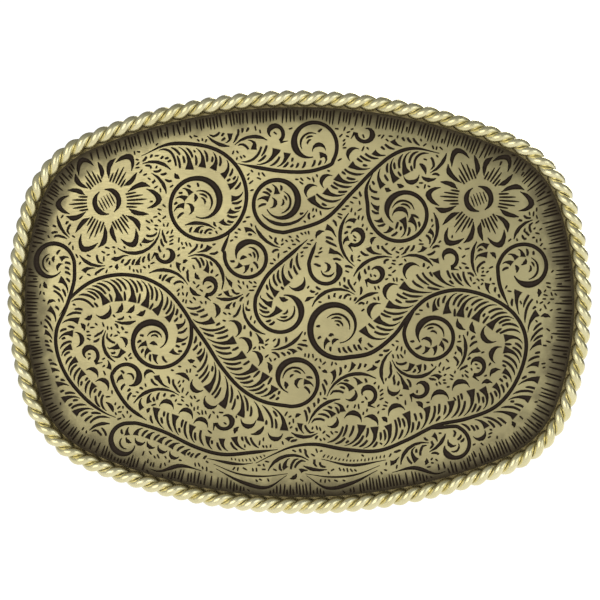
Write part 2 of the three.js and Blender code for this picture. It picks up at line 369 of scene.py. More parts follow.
def plume(work, path, side, start, stop, share, most=DEEP_LOBE):
    """Leaf lobes along one side of a stem, as deep as a share of the free ground beside it.

    Each lobe is thin shading lines and a bold blunt wedge, which leave the stem along it and bend away
    from it, and a crescent beyond them. side is 1 for the stem's left and -1 for its right.
    """
    length = (len(path) - 1) * STEP

    def free(at):
        return free_ground(work, path, side, at, share, most)

    typical = np.mean([free(s) for s in np.linspace(start, stop, 9)])
    pitch = min(3.5, 1.15 + 0.44 * typical)
    lobes = max(1, round((stop - start) * length / pitch))
    step = (stop - start) / lobes
    lines = max(1, round(step * length / BARB_PITCH) - 1)
    deep = [np.mean([free(min(1, start + step * (k + s))) for s in (0.5, 1.2)]) for k in range(lobes)]
    headed = [total > 2.6 for total in deep]
    reach = [(0.68 if head else 0.85) * total for total, head in zip(deep, headed)]
    for k in range(lobes):
        if reach[k] > 1.3:
            wedge = (HAIR, 0.34, 0.66, 0.64 + 0.21 * reach[k])
            barb(work, path, side, start + step * (k + WEDGE_PLACE), reach[k], wedge)
    for k in range(lobes):
        if headed[k]:
            at = start + step * (k + 0.32) + BARB_LEAN * reach[k] / length
            lobe_head(work, path, side, at, deep[k], reach[k], step * length)
    for k in range(lobes):
        for j in range(lines):
            front = 0.82 + 0.16 * math.sin(math.pi * (j + 0.5) / lines)
            at = start + step * (k + WEDGE_PLACE * (j + 0.4) / lines - 0.1)
            widths = (HAIR, FINE, FINE + 0.06, FINE + 0.04, FINE - 0.04)
            barb(work, path, side, at, reach[k] * front, widths)


def whorl(work, centre, radius, tip, turn):
    """Nested curved lines inside a spiral's head, on the side away from its tip."""
    spacing = 0.56
    for k in range(1, 7):
        r = radius - spacing * k
        if r < 0.3:
            break
        first = tip - turn * (230 - 12 * k)
        last = tip - turn * (60 + 8 * k)
        work.cut(arc(centre, r, first, last), (TIP, FINE, FINE + 0.04, TIP), 0.11, 0.5)


def flower_core(work, centre, radius, turn):
    """Five short lines between two crescents that close round them."""
    for half in (0, 180):
        work.cut(arc(centre, 0.235 * radius, turn + half - 58, turn + half + 98), (0.2, 0.85, 0.95, 0.2))
    across = heading(turn + 25)
    along = np.array((-across[1], across[0]))
    for k in range(5):
        middle = centre + radius * (0.062 * k - 0.124) * across
        reach = 0.13 * radius * along
        work.cut([middle - reach, middle + reach], (TIP, 0.3, HAIR), 0.08, 0.4)


def petal(work, centre, radius, angle, longest):
    """A petal along an angle: bold edges and point, and shading lines from its root."""

    def at(share, beside_it):
        return centre + share * radius * heading(angle + beside_it)

    far = work.free_way(centre, at(1 / radius, 0) - centre, radius + 2, 0.35 * radius)
    tip = min(longest, (far - 0.9) / radius)
    left = smooth([at(0.44, 21), at(0.6, 23.5), at(0.76 * tip, 21.5), at(0.88 * tip, 15)])
    right = smooth([at(0.44, -21), at(0.6, -24), at(0.84 * tip, -20)])
    point = smooth([
        at(0.79 * tip, 14), at(0.92 * tip, 7), at(tip, -1), at(0.92 * tip, -8), at(0.78 * tip, -13),
    ])
    work.cut(point, (TIP, 0.7, 1.05, 0.6, TIP))
    work.cut(left, (TIP, 0.7, 0.95, TIP), 0.05)
    work.cut(right, (TIP, 0.85, 0.7, TIP), 0.05)
    for lean in (-17, -8.5, 0, 8.5, 17):
        reach = tip * (0.78 - 0.0035 * abs(lean) ** 1.4)
        work.cut([at(0.38, 1.05 * lean), at(reach, 0.8 * lean)], (0.3, 0.4, 0.36, 0.14))


def flower(work, centre, radius, turn):
    """An open flower of six petals, every second one a little shorter."""
    petals = 6
    centre = np.asarray(centre, float)
    work.keep_bare(centre, 0.86 * radius)
    flower_core(work, centre, radius, turn)
    for k in range(petals):
        petal(work, centre, radius, turn + 360 / petals * k, 1.0 - 0.05 * (k % 2))


def rim_hatch(work):
    """Short cuts side by side, square to the edge, all round the face, and longer on the right."""
    count = 460
    points, normals = outline(FACE_INSET + 0.1, count)
    rng = np.random.default_rng(5)
    for point, normal in zip(points, normals):
        lean = math.radians(rng.normal(0, 3))
        inward = -np.array((
            normal[0] * math.cos(lean) - normal[1] * math.sin(lean),
            normal[0] * math.sin(lean) + normal[1] * math.cos(lean),
        ))
        length = rng.uniform(2.0, 2.6) + 1.1 * max(0, point[0] / (WIDTH / 2)) * rng.uniform(0.3, 1)
        work.cut([point + 0.1 * inward, point + length * inward], (0.36, 0.42, 0.36, 0.16), 0.04, 0.8)


def freest_way(work, place, rng):
    """The arc from a place that runs furthest before it nears a cut: its free length, turn and points."""
    clearance = 0.62
    turn_by_radius = 560  # degrees times millimetres, which makes every arc 9.8 mm long
    ways = []
    for angle in range(0, 360, 24):
        for turn in (-1, 1):
            radius = rng.uniform(3.6, 6.0)
            a = math.radians(angle)
            centre = place + turn * radius * np.array((-math.sin(a), math.cos(a)))
            first = angle - 90 * turn
            last = first + turn * turn_by_radius / radius
            line = evenly(arc(centre, radius, first, last), STEP)
            blocked = np.flatnonzero(work.room_at(line) < clearance)
            free = (blocked[0] if len(blocked) else len(line)) * STEP
            ways.append((free, turn, line))
    return max(ways, key=lambda way: way[0])


def tendrils(work):
    """Short leafy stems that fill the wider spaces between the scrolls, the widest first."""
    rng = np.random.default_rng(8)
    spacing = 1.5
    deepest = 3.6
    x, z = np.meshgrid(np.arange(-WIDTH / 2, WIDTH / 2, spacing), np.arange(-HEIGHT / 2, HEIGHT / 2, spacing))
    places = rng.permutation(np.stack((x, z), -1).reshape(-1, 2))
    for room, least in ((1.5, 6.0), (1.2, 4.5), (1.0, 3.6)):
        for place in places:
            if not work.is_open(place, room):
                continue
            free, turn, line = freest_way(work, place, rng)
            if free < least:
                continue
            line = line[: int(free / STEP)]
            work.cut(line, (TIP, 0.5, LINE, 0.2))
            plume(work, line, turn, 0.05, 0.85, 0.95, deepest)
            plume(work, line, -turn, 0.0, 0.8, 0.95, deepest)


def sprigs(work):
    """Small bold commas in the wider spaces between the scrolls, lying along them."""
    rng = np.random.default_rng(3)
    spacing = 2.2
    radius = 1.9
    clock = np.radians(np.arange(0, 360, 30))
    for x in np.arange(-WIDTH / 2, WIDTH / 2, spacing):
        for z in np.arange(-HEIGHT / 2, HEIGHT / 2, spacing):
            middle = np.array((x, z)) + rng.uniform(-0.9, 0.9, 2)
            if not work.is_open(middle, 0.9):
                continue
            ring = middle + 0.5 * np.stack((np.cos(clock), np.sin(clock)), 1)
            angle = math.degrees(clock[np.argmax(work.room_at(ring))]) + rng.uniform(-30, 30)
            bend = rng.choice((-1, 1)) * 42
            line = arc(middle - radius * heading(angle), radius, angle - bend, angle + bend)
            work.cut(line, (TIP, 0.45, 0.8, 0.6, TIP), 0.14, 2.0)


def ground_marks(work):
    """Short marks of a matting tool wherever the scrolls leave plain ground."""
    rng = np.random.default_rng(11)
    spacing = 0.62
    slope = np.stack(np.gradient(work.room), -1)
    for x in np.arange(-WIDTH / 2, WIDTH / 2, spacing):
        for z in np.arange(-HEIGHT / 2, HEIGHT / 2, spacing):
            middle = np.array((x, z)) + rng.uniform(-0.1, 0.1, 2)
            away = slope[work.cells(middle[None])][0]
            angle = math.atan2(away[1], away[0]) + rng.normal(0.5, 0.25)
            half = rng.uniform(0.3, 0.5) * np.array((math.cos(angle), math.sin(angle)))
            if work.is_open(middle, 0.28):
                work.cut([middle - half, middle + half], (0.26, 0.38, 0.18), 0.1, 0.4)


def zigzag(work, path, height):
    """A serrated band along a line."""
    pitch = 0.62
    count = int((len(path) - 1) * STEP / pitch)
    for k in range(count):
        at = (k + 0.5) / count
        tooth = [beside(path, at - 0.3 / count, 0), beside(path, at + 0.3 / count, height)]
        work.cut(tooth, (0.2, 0.3, HAIR), 0.06, 0.4)


def upper_scrolls(work):
    """The stems of the upper half, by name. Each is its lead points, then the spiral that ends it."""
    return {
        # Large scroll at the upper left, and its branch that rounds the rosette at the top.
        "scroll_a": scroll(work, [(-25.2, 23.8), (-20.8, 25.7)], (-15.5, 16.3), 9.3, 2.4, 92, -560),
        "branch_a": scroll(work, [(-9.6, 22.6), (-6, 21.9), (-2, 21.3), (2.0, 21.3)],
                           (2.4, 25.8), 4.6, 2.2, -50, 330),
        # Upper right stem, which runs down to the circle left of the middle.
        "stem_b": scroll(work, [(23.0, 24.2), (18.9, 25.0), (15.6, 24.0), (12.4, 21.4), (8.8, 17.7),
                                (4.6, 13.6)], (-2.7, 16.4), 5.0, 2.3, -70, -440),
        "curl_b": scroll(work, [(12.4, 21.1), (11.3, 18.6)], (17.2, 14.8), 5.8, 2.3, 168, 420),
        # Scroll at the middle, with a small curl on each side.
        "scroll_c": scroll(work, [(1.9, 10.4), (-0.9, 7.9), (-4.4, 4.8)], (-2.0, -0.9), 4.9, 2.3, 150, 300),
        "curl_c": scroll(work, [(3.3, 10.0), (2.2, 7.0)], (5.2, 5.6), 3.0, 1.6, 175, 230),
        "curl_d": scroll(work, [(-10.6, 11.6), (-11.8, 8.6)], (-7.6, 7.6), 4.0, 2.0, 170, 380),
    }


def lower_scrolls(work):
    """The stems of the lower half, by name."""
    return {
        # Main stem of the right half, from the bottom round to the spiral right of the middle.
        "stem_e": scroll(work, [(-6.6, -26.0), (-3.5, -24.4), (-0.5, -23.2), (3.2, -22.8), (8, -23.6),
                                (13.2, -23.8), (17.9, -22.0), (22.6, -19.6), (27.4, -18.5), (32.0, -16.6),
                                (35.0, -13.2), (36.8, -8.6), (36.8, -4.8), (35, -1.5), (31.8, 0.8), (28, 2.1),
                                (24.6, 2.2), (21.0, 0.9), (18.2, -1.8), (15.8, -5.0), (12.2, -7.8)],
                         (6.6, -3.7), 5.2, 2.6, -70, -370),
        "curl_e": scroll(work, [(19.8, 0.2), (18.2, -2.4)], (22.0, -5.0), 4.6, 2.3, 170, 400),
        "curl_f": scroll(work, [(34.2, -0.4), (32.8, 2.8)], (37.0, 5.8), 4.6, 2.3, 180, -330),
        # Left stem, its arch, and the long scroll that runs from the arch to the lower middle.
        "stem_g": scroll(work, [(-29.5, -18.7), (-31.6, -17.8), (-34.6, -15.6), (-37.6, -12.0), (-39.2, -8.0),
                                (-39.2, -4.4), (-37.6, -0.8), (-36.3, 3.2)],
                         (-40.0, 6.4), 3.9, 2.0, -10, 330),
        "arch": scroll(work, [(-38.8, -2.2), (-36.4, 1.2), (-33.0, 3.6), (-28.8, 4.6), (-24.4, 4.0),
                              (-20.6, 1.8)], (-23.0, -5.8), 6.6, 1.7, 32, -450),
        "scroll_h": scroll(work, [(-19.3, 0.6), (-17.1, -2.8), (-14.6, -6.3), (-12.1, -10.2), (-9.0, -13.7),
                                  (-5.4, -15.8)], (-0.2, -12.2), 4.5, 2.4, -105, 350),
        # A curl over a low stem, and circles in both lower corners.
        "curl_i": scroll(work, [(-24.4, -19.1), (-27.4, -16.9), (-29.4, -14.0)],
                         (-27.2, -12.2), 2.9, 1.2, 175, -270),
        "stem_j": scroll(work, [(-3.0, -23.7), (-7.0, -24.2), (-12.0, -24.6), (-16.5, -23.4), (-21.5, -21.0),
                                (-25.6, -19.7)], (-27.9, -22.9), 3.4, 1.5, 75, 270),
        "curl_k": scroll(work, [(21.6, -20.2), (23.4, -19.9)], (25.4, -23.0), 3.3, 1.4, 85, -270),
    }


def small_curls(work):
    """Little hooked leaves that fill the corners between the larger scrolls, each a place and its facing."""
    places = [
        (-18.5, -9.0, 70), (-33.8, -8.4, 150), (-11.5, -19.0, 40), (11.5, -14.5, 120), (20.0, -13.5, 60),
        (29.0, -9.8, 100), (12.8, 5.0, 60), (24.5, 7.5, 130), (-21.0, 8.0, 20), (-3.6, 27.5, 150),
        (11.2, 27.4, 20), (-14.2, 3.0, 100), (9.6, 11.0, 80),
    ]
    for x, z, facing in places:
        lead = np.array((x, z)) - 2.6 * heading(facing)
        path = smooth([lead, *coil((x, z), 1.7, 0.8, facing + 150, 290, 12)])
        if work.cut(path, (TIP, LINE, LINE, BOLD, 0.2), 0.15, 3.0):
            work.heads.append(((x, z), 0.75, facing + 440, 1))


def ribbon_leaves(work):
    """Crossed ribbon leaves at the bottom, the same on each side."""
    leaves = (
        (0.4, [(1.4, -27.7), (5.6, -28.2), (9.6, -27.8), (13.6, -26.2)]),
        (0.75, [(1.6, -28.0), (5.0, -30.1), (9.0, -29.2), (13.2, -27.0)]),
        (0.75, [(15.5, -27.4), (19.0, -26.6), (22.4, -27.6), (24.2, -27.2)]),
    )
    for side in (-1, 1):
        for width, points in leaves:
            work.cut(smooth([(side * x, z) for x, z in points]), (HAIR, width, HAIR))
        low = smooth([(side * 4.0, -25.2), (side * 9.0, -26.2), (side * 14.6, -25.3)])
        work.cut(low, (HAIR, 0.55, HAIR), 0.12)
        zigzag(work, low, side * 0.95)


def leaf_lobes(work, paths):
    """Leaf lobes along the stems: each row is a stem, a side, and the rest of what plume takes."""
    rows = [
        ("arch", -1, 0.05, 0.60, 0.9),
        ("scroll_h", 1, 0.02, 0.52, 0.7),
        ("stem_e", 1, 0.47, 0.66, 0.75),
        ("stem_e", -1, 0.30, 0.55, 0.95),
        ("scroll_a", -1, 0.05, 0.46, 0.95),
        ("stem_b", -1, 0.05, 0.36, 0.9),
        ("stem_e", 1, 0.10, 0.46, 0.75),
        ("scroll_h", -1, 0.06, 0.5, 0.75),
        ("stem_e", -1, 0.57, 0.72, 0.75),
        ("stem_b", 1, 0.03, 0.30, 0.8),
        ("branch_a", 1, 0.02, 0.42, 0.95),
        ("scroll_c", 1, 0.06, 0.62, 0.9),
        ("curl_b", 1, 0.06, 0.6, 0.9),
        ("stem_g", -1, 0.04, 0.5, 0.95, 4.2),
        ("stem_g", 1, 0.02, 0.6, 0.95, 5),
        ("stem_j", -1, 0.06, 0.62, 0.9, 5),
    ]
    inside = (("scroll_a", -1), ("branch_a", 1), ("stem_b", -1), ("stem_e", -1), ("arch", -1),
              ("scroll_h", 1))
    small = (("curl_c", 1), ("curl_d", 1), ("curl_e", 1), ("curl_f", -1), ("stem_g", 1), ("stem_j", 1),
             ("curl_i", -1), ("curl_k", -1))
    rows += [(name, side, 0.64, 0.9, 0.9, 3.4) for name, side in inside]
    rows += [(name, side, 0.2, 0.75, 0.9, 3.0) for name, side in small]
    for name, *row in rows:
        plume(work, paths[name], *row)


def engrave():
    """The whole drawing: flowers in the upper corners and scrolls that branch and curl between them."""
    work = Engraving()
    flower(work, (-30.8, 16.4), 8.6, 4)
    flower(work, (29.3, 16.9), 8.5, -4)
    paths = upper_scrolls(work)
    paths.update(lower_scrolls(work))
    small_curls(work)
    ribbon_leaves(work)
    rim_hatch(work)
    for centre, inner, tip, turn in work.heads:
        whorl(work, centre, inner + 0.1, tip, turn)
    leaf_lobes(work, paths)
    tendrils(work)
    sprigs(work)
    ground_marks(work)
    return work


# ---- the engraved sheet ----


def cut_depth(points, owners, cuts):
    """How deep the engraving is at each point: each cut has sloping walls and a narrow floor.

    A point on a cut's own outline, whose owner is that cut, can only be deepened by another cut.
    """
    depth = np.zeros(len(points))
    for k, (path, half) in enumerate(cuts):
        wide = half.max()
        inside = np.all((points > path.min(0) - wide) & (points < path.max(0) + wide), axis=1)
        near = np.flatnonzero(inside & (owners != k))
        if len(near) == 0:
            continue
        a, b = path[:-1], path[1:]
        ab = b - a
        t = np.einsum("ijk,jk->ij", points[near][:, None] - a, ab) / np.maximum((ab**2).sum(1), 1e-12)
        past_end = (t[:, 0] < 0) & (t[:, 1:] < 0).all(1) | (t[:, -1] > 1) & (t[:, :-1] > 1).all(1)
        t = np.clip(t, 0, 1)
        distance = np.linalg.norm(points[near][:, None] - (a + t[..., None] * ab), axis=2)
        width = half[:-1] + t * (half[1:] - half[:-1])
        nearest = (np.arange(len(near)), distance.argmin(1))
        wall = np.clip((LIP - distance[nearest] / width[nearest]) / (LIP - FLOOR), 0, 1) * ~past_end
        depth[near] = np.maximum(depth[near], wall * min(DEEPEST, SHALLOWEST + DEPTH_PER_WIDTH * wide))
    return depth


def cut_lines(cuts):
    """Points and edges of every cut's outline and of its floor, and which cut's outline each point is on."""
    points, owners, edges = [], [], []

    def run(line, owner, closed=True):
        first = len(points)
        points.extend(Vector(p) for p in line)
        owners.extend([owner] * len(line))
        edges.extend((first + i, first + i + 1) for i in range(len(line) - 1))
        if closed:
            edges.append((len(points) - 1, first))

    for k, (path, half) in enumerate(cuts):
        length = (len(path) - 1) * STEP
        steps = max(3, int(round(length / min(0.42, 0.2 + 0.1 * length))))
        keep = np.unique(np.linspace(0, len(path) - 1, steps + 1).astype(int))
        along = np.gradient(path, axis=0)[keep]
        across = np.stack((-along[:, 1], along[:, 0]), 1) / np.linalg.norm(along, axis=1)[:, None]
        line, w = path[keep], half[keep][:, None]
        run(np.concatenate((line + across * w, (line - across * w)[::-1])), k)
        if w.max() > THREAD:
            inner = slice(1, -1) if len(line) > 3 else slice(None)
            floor, v = line[inner], FLOOR * w[inner]
            run(np.concatenate((floor + across[inner] * v, (floor - across[inner] * v)[::-1])), NO_CUT)
        else:
            run(line[1:-1], NO_CUT, closed=False)
    return points, owners, edges


def face_shell(top, triangles, border):
    """Closes the engraved surface with the sheet's edge, its flange and its hollow inside."""
    edge = top[border][:, [0, 2]]
    flange = 0.965
    inside = [0.925, 0.83, 0.7, 0.5, 0.25]
    levels = [(1.0, 0.0), (flange, 0.0)]
    levels += [(s, CROWN * (1 - s**2) + ROLL * (1 - s**ROLL_POWER)) for s in inside]
    rings = [border]
    points = [top]
    total = len(top)
    for share, height in levels:
        ring = share * edge
        points.append(np.stack((ring[:, 0], np.full(len(ring), FRONT - height), ring[:, 1]), 1))
        rings.append(np.arange(total, total + len(ring)))
        total += len(ring)
    points.append(np.array([[0, FRONT - CROWN - ROLL, 0]]))
    walls = []
    for a, b in zip(rings, rings[1:]):
        a2, b2 = np.roll(a, -1), np.roll(b, -1)
        walls += [np.stack((a, b, a2), 1), np.stack((a2, b, b2), 1)]
    last = rings[-1]
    walls.append(np.stack((last, np.full(len(last), total), np.roll(last, -1)), 1))
    return np.concatenate(points), np.concatenate((triangles, *walls))


def new_object(name, points, faces, material, attributes=None):
    """A mesh object from points in millimetres."""
    mesh = bpy.data.meshes.new(name)
    mesh.from_pydata((np.asarray(points) * MM).tolist(), [], [list(map(int, f)) for f in faces])
    for key, values in (attributes or {}).items():
        layer = mesh.attributes.new(key, "FLOAT", "POINT")
        layer.data.foreach_set("value", np.asarray(values, np.float32))
    mesh.materials.append(material)
    piece = bpy.data.objects.new(name, mesh)
    bpy.context.scene.collection.objects.link(piece)
    return piece


def triangulate(work, border):
    """Points and triangles of the face that follow every cut, and the cut whose outline each point is on."""
    points, owners, edges = cut_lines(work.cuts)
    grid = np.stack(np.meshgrid(np.arange(-45, 45, GRID), np.arange(-32, 32, GRID)), -1).reshape(-1, 2)
    grid[::2] += 0.4
    grid = grid[(share_out(grid) < 0.97) & (work.room_at(grid) > 0.2)]
    rings = np.concatenate([s * border[::2] for s in (0.955, 0.975, 0.99)])
    loose = np.concatenate((grid, rings))
    first = len(border)
    every = [Vector(p) for p in border] + points + [Vector(p) for p in loose]
    edges = [(a + first, b + first) for a, b in edges]
    found, _, triangles, sources, _, _ = delaunay_2d_cdt(every, edges, [list(range(first))], 1, WELD)
    owners = [NO_CUT] * first + owners + [NO_CUT] * len(loose)
    owner = [max((owners[i] for i in source), default=NO_CUT) for source in sources]
    return np.array(found), np.array(triangles), np.array(owner)


def make_face(material):
    """The engraved sheet, in place of the plain one."""
    work = engrave()
    border, _ = outline(FACE_INSET, RIM_POINTS)
    flat, triangles, owner = triangulate(work, border)
    depth = cut_depth(flat, owner, work.cuts)
    depth[share_out(flat) > ON_RIM] = 0
    top = np.stack((flat[:, 0], FRONT - dome(flat) + depth, flat[:, 1]), 1)
    order = [int(np.argmin(np.abs(flat - p).sum(1))) for p in border]
    shell, faces = face_shell(top, triangles, np.array(order))
    edge_distance = np.zeros(len(shell))
    edge_distance[: len(top)] = from_rim(flat)
    deep = np.zeros(len(shell))
    deep[: len(top)] = depth
    attributes = {"cut_depth": deep, "from_edge": edge_distance}
    piece = new_object("engraved_face", shell, faces, material, attributes)
    set_normals(piece, shell, faces, deep, len(top))
    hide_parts("face_plate")
    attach(piece, "buckle")


def dome_normals(flat):
    """Outward normals of the uncut dome at points of the drawing."""
    step = 0.05
    slope = [(dome(flat + d) - dome(flat - d)) / (2 * step) for d in ((step, 0), (0, step))]
    normal = np.stack((-slope[0], -np.ones(len(flat)), -slope[1]), 1)
    return normal / np.linalg.norm(normal, axis=1)[:, None]


def set_normals(piece, points, faces, deep, top_count):
    """Smooth dome normals on the uncut metal, and flat ones in the cuts and on the sheet's other sides."""
    corner = points[faces]
    flat = np.cross(corner[:, 1] - corner[:, 0], corner[:, 2] - corner[:, 0])
    flat /= np.maximum(np.linalg.norm(flat, axis=1), 1e-12)[:, None]
    normals = np.repeat(flat[:, None], 3, axis=1)
    uncut = (faces < top_count).all(1) & (deep[faces] < 1e-3).all(1)
    smooth_top = np.zeros((len(points), 3))
    smooth_top[:top_count] = dome_normals(points[:top_count][:, [0, 2]])
    normals[uncut] = smooth_top[faces[uncut]]
    mesh = piece.data
    mesh.polygons.foreach_set("use_smooth", np.ones(len(faces), bool))
    mesh.normals_split_custom_set(normals.reshape(-1, 3).tolist())


# ---- rope edge ----


def make_strand(name, node, phase, material):
    """One wire of the rope, wound round the edge and pressed flat against the other wire all the way."""
    steps, sides = ROPE_TURNS * 18, 16
    wire = 0.55 * ROPE_DIAMETER / 2
    offset = ROPE_DIAMETER / 2 - wire
    flat = 0.01 - offset  # where the other wire stops this one
    centre, outward = outline(ROPE_DIAMETER / 2, steps)
    out = np.stack((outward[:, 0], np.zeros(steps), outward[:, 1]), 1)
    back = np.tile((0.0, 1.0, 0.0), (steps, 1))
    angle = (phase - 2 * math.pi * ROPE_TURNS * np.arange(steps) / steps)[:, None]
    radial = out * np.cos(angle) + back * np.sin(angle)
    core = np.stack((centre[:, 0], np.full(steps, FRONT - ROPE_DIAMETER / 2), centre[:, 1]), 1)
    line = core + offset * radial
    along = np.roll(line, -1, 0) - np.roll(line, 1, 0)
    along /= np.linalg.norm(along, axis=1)[:, None]
    first = radial - along * (radial * along).sum(1)[:, None]
    first /= np.linalg.norm(first, axis=1)[:, None]
    second = np.cross(along, first)
    turn = np.arange(sides) * 2 * math.pi / sides
    away = np.maximum(wire * np.cos(turn), flat)
    points = line[:, None] + first[:, None] * away[:, None] + second[:, None] * wire * np.sin(turn)[:, None]
    crown = np.linalg.norm(points - core[:, None], axis=2) / (ROPE_DIAMETER / 2)
    i, j = np.meshgrid(np.arange(steps), np.arange(sides), indexing="ij")
    a, b = i * sides + j, i * sides + (j + 1) % sides
    c, d = (i + 1) % steps * sides + (j + 1) % sides, (i + 1) % steps * sides + j
    faces = np.stack((a, b, c, d), -1).reshape(-1, 4)
    piece = new_object(name, points.reshape(-1, 3), faces, material, {"crown": crown.reshape(-1)})
    piece.data.polygons.foreach_set("use_smooth", np.ones(len(faces), bool))
    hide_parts(node)
    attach(piece, "buckle")


# ---- materials ----


class Tree:
    """A short way to build a node tree."""

    def __init__(self, tree):
        self.tree = tree
        self.tree.nodes.clear()

    def link(self, source, target):
        """Joins an output socket to an input socket."""
        self.tree.links.new(source, target)

    def put(self, kind, inputs=None, **settings):
        """A new node; each input is a socket to link or a value."""
        node = self.tree.nodes.new(kind)
        for key, value in settings.items():
            setattr(node, key, value)
        for key, value in (inputs or {}).items():
            if isinstance(value, bpy.types.NodeSocket):
                self.link(value, node.inputs[key])
            else:
                node.inputs[key].default_value = value
        return node


class Nodes(Tree):
    """A material's node tree, with its shader, its output and the nodes that materials use most."""

    def __init__(self, name):
        self.material = bpy.data.materials.new(name)
        self.material.use_nodes = True
        super().__init__(self.material.node_tree)
        self.output = self.put("ShaderNodeOutputMaterial")
        self.shader = self.put("ShaderNodeBsdfPrincipled")
        self.link(self.shader.outputs[0], self.output.inputs["Surface"])
        self.place = self.put("ShaderNodeTexCoord").outputs["Object"]

    def noise(self, scale, detail=4.0, roughness=0.55, stretch=None):
        vector = self.place
        if stretch:
            vector = self.put("ShaderNodeMapping", {"Vector": vector, "Scale": stretch}).outputs[0]
        inputs = {"Vector": vector, "Scale": scale, "Detail": detail, "Roughness": roughness}
        return self.put("ShaderNodeTexNoise", inputs).outputs["Fac"]

    def remap(self, value, low, high, to_low=0.0, to_high=1.0):
        """The value carried smoothly from one range to another, and held at its ends."""
        inputs = {"Value": value, "From Min": low, "From Max": high, "To Min": to_low, "To Max": to_high}
        return self.put("ShaderNodeMapRange", inputs, interpolation_type="SMOOTHSTEP").outputs[0]

    def attribute(self, name):
        return self.put("ShaderNodeAttribute", attribute_name=name).outputs["Fac"]

    def maths(self, operation, a, b=0.0):
        return self.put("ShaderNodeMath", {0: a, 1: b}, operation=operation).outputs[0]

    def mix(self, share, a, b):
        return self.put("ShaderNodeMix", {0: share, 6: a, 7: b}, data_type="RGBA").outputs[2]

    def bump(self, height, strength, distance):
        inputs = {"Height": height, "Strength": strength, "Distance": distance}
        return self.put("ShaderNodeBump", inputs).outputs[0]

    def set(self, **inputs):
        """Sets or links the shader's inputs, with _ for each space in their names."""
        for key, value in inputs.items():
            socket = self.shader.inputs[key.replace("_", " ")]
            if isinstance(value, bpy.types.NodeSocket):
                self.link(value, socket)
            else:
                socket.default_value = value


BRASS_LIGHT = (0.61, 0.54, 0.28, 1)
BRASS_DULL = (0.46, 0.4, 0.21, 1)
ROPE_LIGHT = (0.96, 0.88, 0.54, 1)
ROPE_DULL = (0.86, 0.78, 0.44, 1)
BACK_LIGHT = (0.37, 0.31, 0.16, 1)
BACK_DULL = (0.3, 0.25, 0.125, 1)
FITTING_LIGHT = (0.54, 0.465, 0.25, 1)
FITTING_DULL = (0.44, 0.375, 0.195, 1)
RIVET_LIGHT = (0.66, 0.58, 0.34, 1)
RIVET_DULL = (0.42, 0.36, 0.19, 1)
STEEL_LIGHT = (0.58, 0.57, 0.55, 1)
STEEL_DULL = (0.42, 0.41, 0.39, 1)
PATINA = (0.032, 0.019, 0.009, 1)
TARNISH = (0.15, 0.11, 0.055, 1)
GRAIN_DEPTH = 0.00002
BRUSH_DEPTH = 0.00003
DENT_DEPTH = 0.00012


def rim_patina_and_painted_shade(n):
    """Patina and painted shade at the rim, over a distance that varies and is longer towards the face's two
    ends.
    """
    side = n.maths("ABSOLUTE", n.put("ShaderNodeSeparateXYZ", {0: n.place}).outputs[0])
    reach = n.remap(n.noise(420.0, 4.0), 0.25, 0.75, 2.4, 4.4)
    reach = n.maths("MULTIPLY", reach, n.remap(side, 0.3 * WIDTH / 2 * MM, WIDTH / 2 * MM, 0.85, 1.3))
    return n.remap(n.maths("DIVIDE", n.attribute("from_edge"), reach), 0.0, 1.35, 0.93, 0.0)


def antique_brass():
    """Brass whose cuts keep a dark patina and whose rim darkens with patina and painted shade, with cloudy
    tone, fine grain and hairline scratches.
    """
    n = Nodes("antique_brass")
    clouds = n.remap(n.noise(90.0, 5.0), 0.3, 0.7)
    grain = n.noise(5200.0, 3.0, 0.7)
    scratches = n.noise(900.0, 2.0, 0.5, (1.0, 1.0, 14.0))
    metal = n.mix(clouds, BRASS_DULL, BRASS_LIGHT)
    dark = n.remap(n.attribute("cut_depth"), 0.015, 0.08)
    # the rim's dark band: partly patina, partly painted shade
    dark = n.maths("MAXIMUM", dark, rim_patina_and_painted_shade(n))
    specks = n.remap(grain, 0.62, 0.78, 0.0, 0.25)
    dark = n.maths("MINIMUM", n.maths("ADD", dark, specks), 1.0)
    n.set(Base_Color=n.mix(dark, metal, PATINA))
    n.set(Metallic=n.remap(dark, 0.0, 1.0, 1.0, 0.35))
    rough = n.remap(scratches, 0.35, 0.65, 0.36, 0.5)
    n.set(Roughness=n.maths("ADD", rough, n.remap(dark, 0.0, 1.0, 0.0, 0.3)))
    n.set(Normal=n.bump(n.maths("ADD", grain, scratches), 0.25, GRAIN_DEPTH))
    return n.material


def rope_brass():
    """Lighter brass, polished on the wires' crowns, with patina in the groove between them."""
    n = Nodes("rope_brass")
    clouds = n.remap(n.noise(160.0, 4.0), 0.35, 0.65)
    grain = n.noise(4200.0, 3.0, 0.7)
    metal = n.mix(clouds, ROPE_DULL, ROPE_LIGHT)
    height = n.maths("ADD", n.attribute("crown"), n.remap(n.noise(700.0), 0.2, 0.8, -0.07, 0.07))
    dark = n.remap(height, 0.48, 0.67, 1.0, 0.0)
    n.set(Base_Color=n.mix(dark, metal, PATINA))
    n.set(Metallic=n.remap(dark, 0.0, 1.0, 1.0, 0.35))
    n.set(Roughness=n.remap(grain, 0.3, 0.7, 0.23, 0.35))
    n.set(Normal=n.bump(grain, 0.2, GRAIN_DEPTH))
    return n.material


def brushed(name, dull, bright, rough, stretch):
    """Plain metal with long fine brush lines, a few deeper scratches and a light tarnish."""
    n = Nodes(name)
    lines = n.noise(1500.0, 4.0, 0.65, stretch)
    scratches = n.remap(n.noise(500.0, 2.0, 0.5, stretch), 0.68, 0.72)
    tarnish = n.remap(n.noise(60.0, 8.0, 0.6), 0.4, 0.8, 0.0, 0.4)
    metal = n.mix(n.remap(lines, 0.3, 0.7), dull, bright)
    n.set(Base_Color=n.mix(n.maths("MAXIMUM", tarnish, n.maths("MULTIPLY", scratches, 0.3)), metal, TARNISH))
    n.set(Metallic=1.0)
    n.set(Roughness=n.remap(lines, 0.3, 0.7, rough + 0.1, rough - 0.06))
    n.set(Normal=n.bump(n.maths("SUBTRACT", lines, scratches), 0.35, BRUSH_DEPTH))
    return n.material


